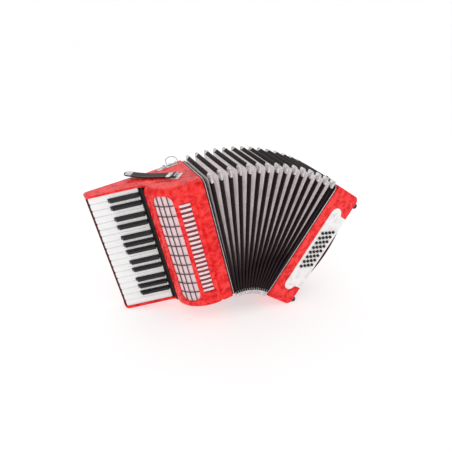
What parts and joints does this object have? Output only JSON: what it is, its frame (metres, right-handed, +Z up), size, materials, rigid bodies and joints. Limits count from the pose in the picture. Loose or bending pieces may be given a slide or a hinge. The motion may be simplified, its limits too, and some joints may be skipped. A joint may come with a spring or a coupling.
{
  "type": "piano accordion",
  "caption": "Piano accordion with a treble keyboard box, a bass button box and a fanned bellows between them that closes to a flat stack.",
  "frame": {"origin": "middle of the bounding box on the surface that the instrument stands on", "axes": "+Z up, +X from the keyboard towards the bass buttons, -Y towards the front, where the grille and the bass buttons are"},
  "size_m": [0.671, 0.179, 0.4019],
  "materials": {
    "bellows": "bellows leatherette and board",
    "black_key": "polished black plastic",
    "cloth": "pale pink grille cloth",
    "leather": "black strap leather",
    "maroon_leather": "dark maroon strap leather",
    "metal": "nickel plated",
    "red_celluloid": "pearloid celluloid, glossy",
    "white_key": "polished white plastic",
    "white_panel": "off-white pearloid sheet",
    "wood": "plain wood"
  },
  "bodies": {
    "treble": {"treble_body": "red_celluloid", "treble_grille": "red_celluloid", "grille_cloth": "cloth", "keyboard_bed": "red_celluloid", "key_axle": "metal", "treble_soundboard": "wood", "treble_reed_block": "wood", "treble_bellows_frame": "wood", "top_strap_anchor": "metal"},
    "black_key_01": {"black_key_01": "black_key"},
    "black_key_02": {"black_key_02": "black_key"},
    "black_key_03": {"black_key_03": "black_key"},
    "black_key_04": {"black_key_04": "black_key"},
    "black_key_05": {"black_key_05": "black_key"},
    "black_key_06": {"black_key_06": "black_key"},
    "black_key_07": {"black_key_07": "black_key"},
    "black_key_08": {"black_key_08": "black_key"},
    "black_key_09": {"black_key_09": "black_key"},
    "black_key_10": {"black_key_10": "black_key"},
    "black_key_11": {"black_key_11": "black_key"},
    "black_key_12": {"black_key_12": "black_key"},
    "white_key_01": {"white_key_01": "white_key"},
    "white_key_02": {"white_key_02": "white_key"},
    "white_key_03": {"white_key_03": "white_key"},
    "white_key_04": {"white_key_04": "white_key"},
    "white_key_05": {"white_key_05": "white_key"},
    "white_key_06": {"white_key_06": "white_key"},
    "white_key_07": {"white_key_07": "white_key"},
    "white_key_08": {"white_key_08": "white_key"},
    "white_key_09": {"white_key_09": "white_key"},
    "white_key_10": {"white_key_10": "white_key"},
    "white_key_11": {"white_key_11": "white_key"},
    "white_key_12": {"white_key_12": "white_key"},
    "white_key_13": {"white_key_13": "white_key"},
    "white_key_14": {"white_key_14": "white_key"},
    "white_key_15": {"white_key_15": "white_key"},
    "white_key_16": {"white_key_16": "white_key"},
    "white_key_17": {"white_key_17": "white_key"},
    "white_key_18": {"white_key_18": "white_key"},
    "bellows_1": {"bellows_fold_1": "bellows"},
    "bellows_2": {"bellows_fold_2": "bellows"},
    "bellows_3": {"bellows_fold_3": "bellows", "bottom_bellows_strap": "leather"},
    "bellows_4": {"bellows_fold_4": "bellows"},
    "bellows_5": {"bellows_fold_5": "bellows"},
    "bass": {"bass_body": "red_celluloid", "bass_cover": "red_celluloid", "bass_button_panel": "white_panel", "bass_strap": "maroon_leather", "bass_reed_block": "wood", "bass_bellows_frame": "wood"},
    "top_strap": {"top_bellows_strap": "leather"},
    "shoulder_loop_top": {"shoulder_loop_top": "metal"},
    "shoulder_loop_bottom": {"shoulder_loop_bottom": "metal"},
    "bass_button_row_1": {"bass_button_row_1": "black_key"},
    "bass_button_row_2": {"bass_button_row_2": "black_key"},
    "bass_button_row_3": {"bass_button_row_3": "black_key"},
    "bass_button_row_4": {"bass_button_row_4": "black_key"},
    "air_button": {"air_button": "black_key"},
    "strap_adjuster_wheel": {"strap_adjuster_wheel": "metal"}
  },
  "joints": [
    {"name": "bellows_hinge_1", "type": "hinge", "parent": "treble", "child": "bellows_1", "pos_m": [-0.0035, -0.00748, 0.06373], "axis": [0, 1, 0], "range_deg": [-4.8, 0.5]},
    {"name": "bellows_hinge_2", "type": "hinge", "parent": "bellows_1", "child": "bellows_2", "pos_m": [0.00905, -0.00748, 0.06557], "axis": [0, 1, 0], "range_deg": [-9.6, 1]},
    {"name": "bellows_fan", "type": "hinge", "parent": "bellows_2", "child": "bellows_3", "pos_m": [0.02596, -0.00748, 0.06551], "axis": [0, 1, 0], "range_deg": [-9.6, 1], "deforming": ["bottom_bellows_strap"]},
    {"name": "bellows_hinge_4", "type": "hinge", "parent": "bellows_3", "child": "bellows_4", "pos_m": [0.04262, -0.00748, 0.06261], "axis": [0, 1, 0], "range_deg": [-9.6, 1]},
    {"name": "bellows_hinge_5", "type": "hinge", "parent": "bellows_4", "child": "bellows_5", "pos_m": [0.05856, -0.00748, 0.05695], "axis": [0, 1, 0], "range_deg": [-9.6, 1]},
    {"name": "bellows_hinge_6", "type": "hinge", "parent": "bellows_5", "child": "bass", "pos_m": [0.06975, -0.00748, 0.05098], "axis": [0, 1, 0], "range_deg": [-4.8, 0.5]},
    {"name": "top_strap_swing", "type": "hinge", "parent": "treble", "child": "top_strap", "pos_m": [-0.13706, -0.01748, 0.37852], "axis": [0.3707, 0.9239, 0.095], "range_deg": [0, 180]},
    {"name": "shoulder_loop_top_swing", "type": "hinge", "parent": "treble", "child": "shoulder_loop_top", "pos_m": [-0.12062, 0.05652, 0.37881], "axis": [0.9687, 0, 0.2482], "range_deg": [0, 150]},
    {"name": "shoulder_loop_bottom_swing", "type": "hinge", "parent": "treble", "child": "shoulder_loop_bottom", "pos_m": [-0.07488, 0.05652, 0.04326], "axis": [0.9687, 0, 0.2482], "range_deg": [-80, 80]},
    {"name": "bass_button_row_1_press", "type": "slide", "parent": "bass", "child": "bass_button_row_1", "axis": [-0.0894, 0.9942, 0.0606], "range_m": [0, 0.003], "stiffness_N_per_m": 200, "springref_m": -0.01},
    {"name": "bass_button_row_2_press", "type": "slide", "parent": "bass", "child": "bass_button_row_2", "axis": [-0.0894, 0.9942, 0.0606], "range_m": [0, 0.003], "stiffness_N_per_m": 200, "springref_m": -0.01},
    {"name": "bass_button_row_3_press", "type": "slide", "parent": "bass", "child": "bass_button_row_3", "axis": [-0.0894, 0.9942, 0.0606], "range_m": [0, 0.003], "stiffness_N_per_m": 200, "springref_m": -0.01},
    {"name": "bass_button_row_4_press", "type": "slide", "parent": "bass", "child": "bass_button_row_4", "axis": [-0.0894, 0.9942, 0.0606], "range_m": [0, 0.003], "stiffness_N_per_m": 200, "springref_m": -0.01},
    {"name": "air_button_press", "type": "slide", "parent": "bass", "child": "air_button", "axis": [-0.8278, 0, 0.561], "range_m": [0, 0.004], "stiffness_N_per_m": 200, "springref_m": -0.008},
    {"name": "strap_adjuster_turn", "type": "hinge", "parent": "bass", "child": "strap_adjuster_wheel", "pos_m": [0.32636, -0.00748, 0.26254], "axis": [0.561, 0, 0.8278], "range_deg": [-360, 360]},
    {"name": "black_key_01_press", "type": "hinge", "parent": "treble", "child": "black_key_01", "pos_m": [-0.19268, 0.01452, 0.33371], "axis": [0.2482, 0, -0.9687], "range_deg": [0, 1.8], "stiffness_Nm_per_rad": 0.5, "springref_deg": -17.19},
    {"name": "black_key_02_press", "type": "hinge", "parent": "treble", "child": "black_key_02", "pos_m": [-0.18755, 0.01452, 0.31371], "axis": [0.2482, 0, -0.9687], "range_deg": [0, 1.8], "stiffness_Nm_per_rad": 0.5, "springref_deg": -17.19},
    {"name": "black_key_03_press", "type": "hinge", "parent": "treble", "child": "black_key_03", "pos_m": [-0.17999, 0.01452, 0.28422], "axis": [0.2482, 0, -0.9687], "range_deg": [0, 1.8], "stiffness_Nm_per_rad": 0.5, "springref_deg": -17.19},
    {"name": "black_key_04_press", "type": "hinge", "parent": "treble", "child": "black_key_04", "pos_m": [-0.17443, 0.01452, 0.2625], "axis": [0.2482, 0, -0.9687], "range_deg": [0, 1.8], "stiffness_Nm_per_rad": 0.5, "springref_deg": -17.19},
    {"name": "black_key_05_press", "type": "hinge", "parent": "treble", "child": "black_key_05", "pos_m": [-0.16687, 0.01452, 0.23301], "axis": [0.2482, 0, -0.9687], "range_deg": [0, 1.8], "stiffness_Nm_per_rad": 0.5, "springref_deg": -17.19},
    {"name": "black_key_06_press", "type": "hinge", "parent": "treble", "child": "black_key_06", "pos_m": [-0.16174, 0.01452, 0.21301], "axis": [0.2482, 0, -0.9687], "range_deg": [0, 1.8], "stiffness_Nm_per_rad": 0.5, "springref_deg": -17.19},
    {"name": "black_key_07_press", "type": "hinge", "parent": "treble", "child": "black_key_07", "pos_m": [-0.15662, 0.01452, 0.19301], "axis": [0.2482, 0, -0.9687], "range_deg": [0, 1.8], "stiffness_Nm_per_rad": 0.5, "springref_deg": -17.19},
    {"name": "black_key_08_press", "type": "hinge", "parent": "treble", "child": "black_key_08", "pos_m": [-0.14906, 0.01452, 0.16353], "axis": [0.2482, 0, -0.9687], "range_deg": [0, 1.8], "stiffness_Nm_per_rad": 0.5, "springref_deg": -17.19},
    {"name": "black_key_09_press", "type": "hinge", "parent": "treble", "child": "black_key_09", "pos_m": [-0.14349, 0.01452, 0.1418], "axis": [0.2482, 0, -0.9687], "range_deg": [0, 1.8], "stiffness_Nm_per_rad": 0.5, "springref_deg": -17.19},
    {"name": "black_key_10_press", "type": "hinge", "parent": "treble", "child": "black_key_10", "pos_m": [-0.13594, 0.01452, 0.11231], "axis": [0.2482, 0, -0.9687], "range_deg": [0, 1.8], "stiffness_Nm_per_rad": 0.5, "springref_deg": -17.19},
    {"name": "black_key_11_press", "type": "hinge", "parent": "treble", "child": "black_key_11", "pos_m": [-0.13081, 0.01452, 0.09231], "axis": [0.2482, 0, -0.9687], "range_deg": [0, 1.8], "stiffness_Nm_per_rad": 0.5, "springref_deg": -17.19},
    {"name": "black_key_12_press", "type": "hinge", "parent": "treble", "child": "black_key_12", "pos_m": [-0.12569, 0.01452, 0.07231], "axis": [0.2482, 0, -0.9687], "range_deg": [0, 1.8], "stiffness_Nm_per_rad": 0.5, "springref_deg": -17.19},
    {"name": "white_key_01_press", "type": "hinge", "parent": "treble", "child": "white_key_01", "pos_m": [-0.19554, 0.01452, 0.34487], "axis": [0.2482, 0, -0.9687], "range_deg": [0, 1.8], "stiffness_Nm_per_rad": 0.5, "springref_deg": -17.19},
    {"name": "white_key_02_press", "type": "hinge", "parent": "treble", "child": "white_key_02", "pos_m": [-0.19011, 0.01452, 0.32371], "axis": [0.2482, 0, -0.9687], "range_deg": [0, 1.8], "stiffness_Nm_per_rad": 0.5, "springref_deg": -17.19},
    {"name": "white_key_03_press", "type": "hinge", "parent": "treble", "child": "white_key_03", "pos_m": [-0.18504, 0.01452, 0.30393], "axis": [0.2482, 0, -0.9687], "range_deg": [0, 1.8], "stiffness_Nm_per_rad": 0.5, "springref_deg": -17.19},
    {"name": "white_key_04_press", "type": "hinge", "parent": "treble", "child": "white_key_04", "pos_m": [-0.18257, 0.01452, 0.29427], "axis": [0.2482, 0, -0.9687], "range_deg": [0, 1.8], "stiffness_Nm_per_rad": 0.5, "springref_deg": -17.19},
    {"name": "white_key_05_press", "type": "hinge", "parent": "treble", "child": "white_key_05", "pos_m": [-0.17721, 0.01452, 0.27336], "axis": [0.2482, 0, -0.9687], "range_deg": [0, 1.8], "stiffness_Nm_per_rad": 0.5, "springref_deg": -17.19},
    {"name": "white_key_06_press", "type": "hinge", "parent": "treble", "child": "white_key_06", "pos_m": [-0.17185, 0.01452, 0.25245], "axis": [0.2482, 0, -0.9687], "range_deg": [0, 1.8], "stiffness_Nm_per_rad": 0.5, "springref_deg": -17.19},
    {"name": "white_key_07_press", "type": "hinge", "parent": "treble", "child": "white_key_07", "pos_m": [-0.16938, 0.01452, 0.2428], "axis": [0.2482, 0, -0.9687], "range_deg": [0, 1.8], "stiffness_Nm_per_rad": 0.5, "springref_deg": -17.19},
    {"name": "white_key_08_press", "type": "hinge", "parent": "treble", "child": "white_key_08", "pos_m": [-0.16431, 0.01452, 0.22301], "axis": [0.2482, 0, -0.9687], "range_deg": [0, 1.8], "stiffness_Nm_per_rad": 0.5, "springref_deg": -17.19},
    {"name": "white_key_09_press", "type": "hinge", "parent": "treble", "child": "white_key_09", "pos_m": [-0.15918, 0.01452, 0.20301], "axis": [0.2482, 0, -0.9687], "range_deg": [0, 1.8], "stiffness_Nm_per_rad": 0.5, "springref_deg": -17.19},
    {"name": "white_key_10_press", "type": "hinge", "parent": "treble", "child": "white_key_10", "pos_m": [-0.15411, 0.01452, 0.18322], "axis": [0.2482, 0, -0.9687], "range_deg": [0, 1.8], "stiffness_Nm_per_rad": 0.5, "springref_deg": -17.19},
    {"name": "white_key_11_press", "type": "hinge", "parent": "treble", "child": "white_key_11", "pos_m": [-0.15164, 0.01452, 0.17357], "axis": [0.2482, 0, -0.9687], "range_deg": [0, 1.8], "stiffness_Nm_per_rad": 0.5, "springref_deg": -17.19},
    {"name": "white_key_12_press", "type": "hinge", "parent": "treble", "child": "white_key_12", "pos_m": [-0.14628, 0.01452, 0.15266], "axis": [0.2482, 0, -0.9687], "range_deg": [0, 1.8], "stiffness_Nm_per_rad": 0.5, "springref_deg": -17.19},
    {"name": "white_key_13_press", "type": "hinge", "parent": "treble", "child": "white_key_13", "pos_m": [-0.14092, 0.01452, 0.13176], "axis": [0.2482, 0, -0.9687], "range_deg": [0, 1.8], "stiffness_Nm_per_rad": 0.5, "springref_deg": -17.19},
    {"name": "white_key_14_press", "type": "hinge", "parent": "treble", "child": "white_key_14", "pos_m": [-0.13845, 0.01452, 0.1221], "axis": [0.2482, 0, -0.9687], "range_deg": [0, 1.8], "stiffness_Nm_per_rad": 0.5, "springref_deg": -17.19},
    {"name": "white_key_15_press", "type": "hinge", "parent": "treble", "child": "white_key_15", "pos_m": [-0.13337, 0.01452, 0.10231], "axis": [0.2482, 0, -0.9687], "range_deg": [0, 1.8], "stiffness_Nm_per_rad": 0.5, "springref_deg": -17.19},
    {"name": "white_key_16_press", "type": "hinge", "parent": "treble", "child": "white_key_16", "pos_m": [-0.12825, 0.01452, 0.08231], "axis": [0.2482, 0, -0.9687], "range_deg": [0, 1.8], "stiffness_Nm_per_rad": 0.5, "springref_deg": -17.19},
    {"name": "white_key_17_press", "type": "hinge", "parent": "treble", "child": "white_key_17", "pos_m": [-0.12318, 0.01452, 0.06252], "axis": [0.2482, 0, -0.9687], "range_deg": [0, 1.8], "stiffness_Nm_per_rad": 0.5, "springref_deg": -17.19},
    {"name": "white_key_18_press", "type": "hinge", "parent": "treble", "child": "white_key_18", "pos_m": [-0.11976, 0.01452, 0.0492], "axis": [0.2482, 0, -0.9687], "range_deg": [0, 1.8], "stiffness_Nm_per_rad": 0.5, "springref_deg": -17.19}
  ],
  "couplings": [
    {"joint": "bellows_hinge_1", "follows": "bellows_fan", "ratio": 0.5},
    {"joint": "bellows_hinge_2", "follows": "bellows_fan", "ratio": 1},
    {"joint": "bellows_hinge_4", "follows": "bellows_fan", "ratio": 1},
    {"joint": "bellows_hinge_5", "follows": "bellows_fan", "ratio": 1},
    {"joint": "bellows_hinge_6", "follows": "bellows_fan", "ratio": 0.5}
  ]
}
